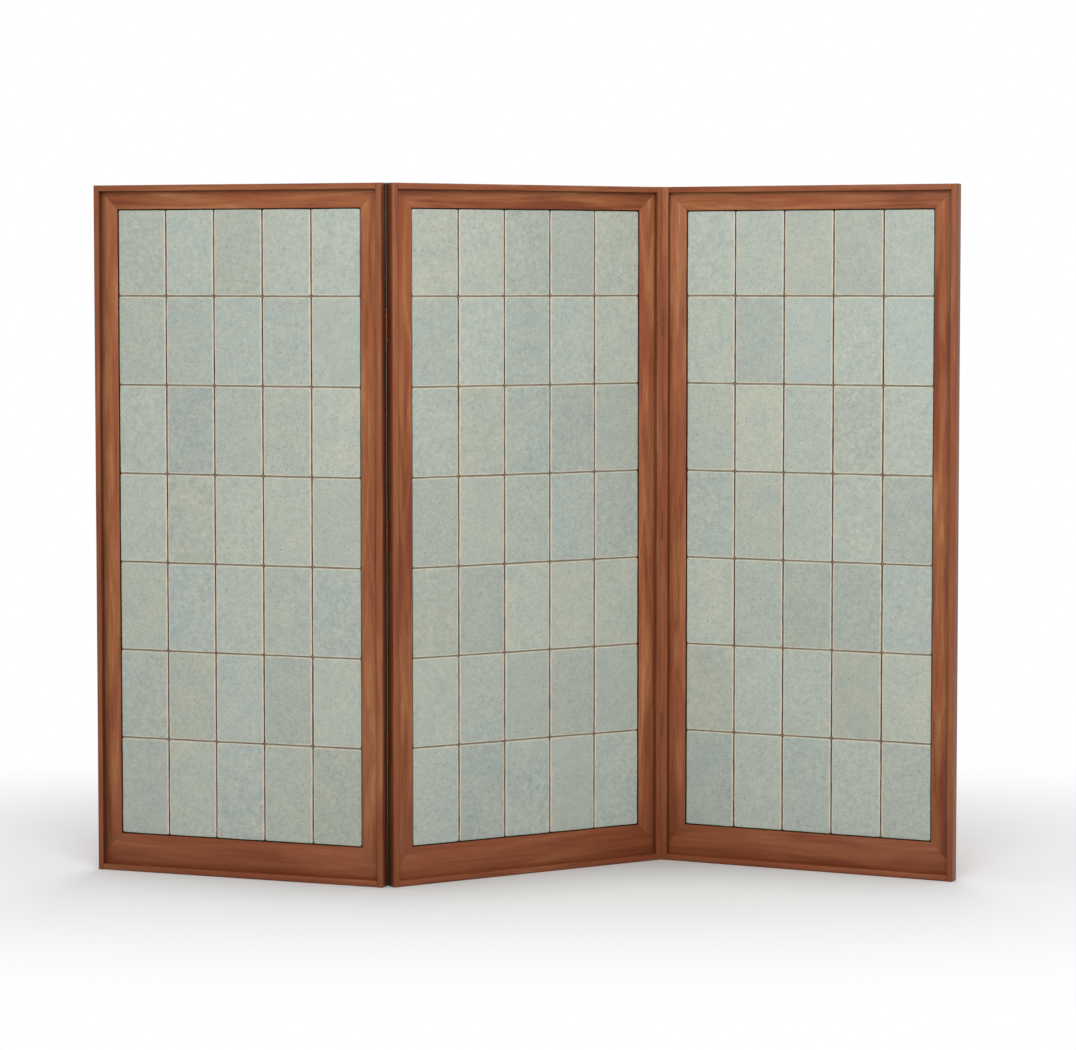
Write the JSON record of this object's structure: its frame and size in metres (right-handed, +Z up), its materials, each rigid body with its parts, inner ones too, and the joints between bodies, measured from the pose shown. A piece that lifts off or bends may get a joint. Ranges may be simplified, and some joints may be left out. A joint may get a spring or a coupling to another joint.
{
  "type": "tiled folding screen",
  "caption": "Folding room divider of hinged wooden panels, each a raised-lip mitred frame round a field of pale glazed tiles, standing in a zigzag.",
  "frame": {"origin": "centre of the standing screen's footprint box, on the floor", "axes": "+X along the screen's length, to the right as seen from the tiled front; +Y towards the back; +Z up"},
  "size_m": [2.1202, 0.419, 1.7],
  "materials": {
    "frame_wood": "satin",
    "backing_wood": "matte",
    "tile_glaze": "satin",
    "grout": "matte",
    "hinge_metal": "satin"
  },
  "bodies": {
    "middle_panel": {"back_hinge_middle_leaves": "hinge_metal", "back_hinge_pins": "hinge_metal", "front_hinge_middle_leaves": "hinge_metal", "front_hinge_pins": "hinge_metal", "middle_panel_backing_board": "backing_wood", "middle_panel_bottom_edge": "frame_wood", "middle_panel_bottom_rail": "frame_wood", "middle_panel_hinge_screws": "hinge_metal", "middle_panel_left_edge": "frame_wood", "middle_panel_left_stile": "frame_wood", "middle_panel_mitre_tongues": "frame_wood", "middle_panel_right_edge": "frame_wood", "middle_panel_right_stile": "frame_wood", "middle_panel_tile_bed": "grout", "middle_panel_tile_column_1": "tile_glaze", "middle_panel_tile_column_2": "tile_glaze", "middle_panel_tile_column_3": "tile_glaze", "middle_panel_tile_column_4": "tile_glaze", "middle_panel_tile_column_5": "tile_glaze", "middle_panel_top_edge": "frame_wood", "middle_panel_top_rail": "frame_wood"},
    "left_panel": {"back_hinge_left_leaves": "hinge_metal", "left_panel_backing_board": "backing_wood", "left_panel_bottom_edge": "frame_wood", "left_panel_bottom_rail": "frame_wood", "left_panel_hinge_screws": "hinge_metal", "left_panel_left_edge": "frame_wood", "left_panel_left_stile": "frame_wood", "left_panel_mitre_tongues": "frame_wood", "left_panel_right_edge": "frame_wood", "left_panel_right_stile": "frame_wood", "left_panel_tile_bed": "grout", "left_panel_tile_column_1": "tile_glaze", "left_panel_tile_column_2": "tile_glaze", "left_panel_tile_column_3": "tile_glaze", "left_panel_tile_column_4": "tile_glaze", "left_panel_tile_column_5": "tile_glaze", "left_panel_top_edge": "frame_wood", "left_panel_top_rail": "frame_wood"},
    "right_panel": {"front_hinge_right_leaves": "hinge_metal", "right_panel_backing_board": "backing_wood", "right_panel_bottom_edge": "frame_wood", "right_panel_bottom_rail": "frame_wood", "right_panel_hinge_screws": "hinge_metal", "right_panel_left_edge": "frame_wood", "right_panel_left_stile": "frame_wood", "right_panel_mitre_tongues": "frame_wood", "right_panel_right_edge": "frame_wood", "right_panel_right_stile": "frame_wood", "right_panel_tile_bed": "grout", "right_panel_tile_column_1": "tile_glaze", "right_panel_tile_column_2": "tile_glaze", "right_panel_tile_column_3": "tile_glaze", "right_panel_tile_column_4": "tile_glaze", "right_panel_tile_column_5": "tile_glaze", "right_panel_top_edge": "frame_wood", "right_panel_top_rail": "frame_wood"}
  },
  "joints": [
    {"name": "left_fold", "type": "hinge", "parent": "middle_panel", "child": "left_panel", "pos_m": [-0.32838, -0.17922, 0.85], "axis": [0, 0, -1], "range_deg": [-49.8, 130.2]},
    {"name": "right_fold", "type": "hinge", "parent": "middle_panel", "child": "right_panel", "pos_m": [0.34828, 0.1794, 0.85], "axis": [0, 0, -1], "range_deg": [-54.5, 125.5]}
  ]
}
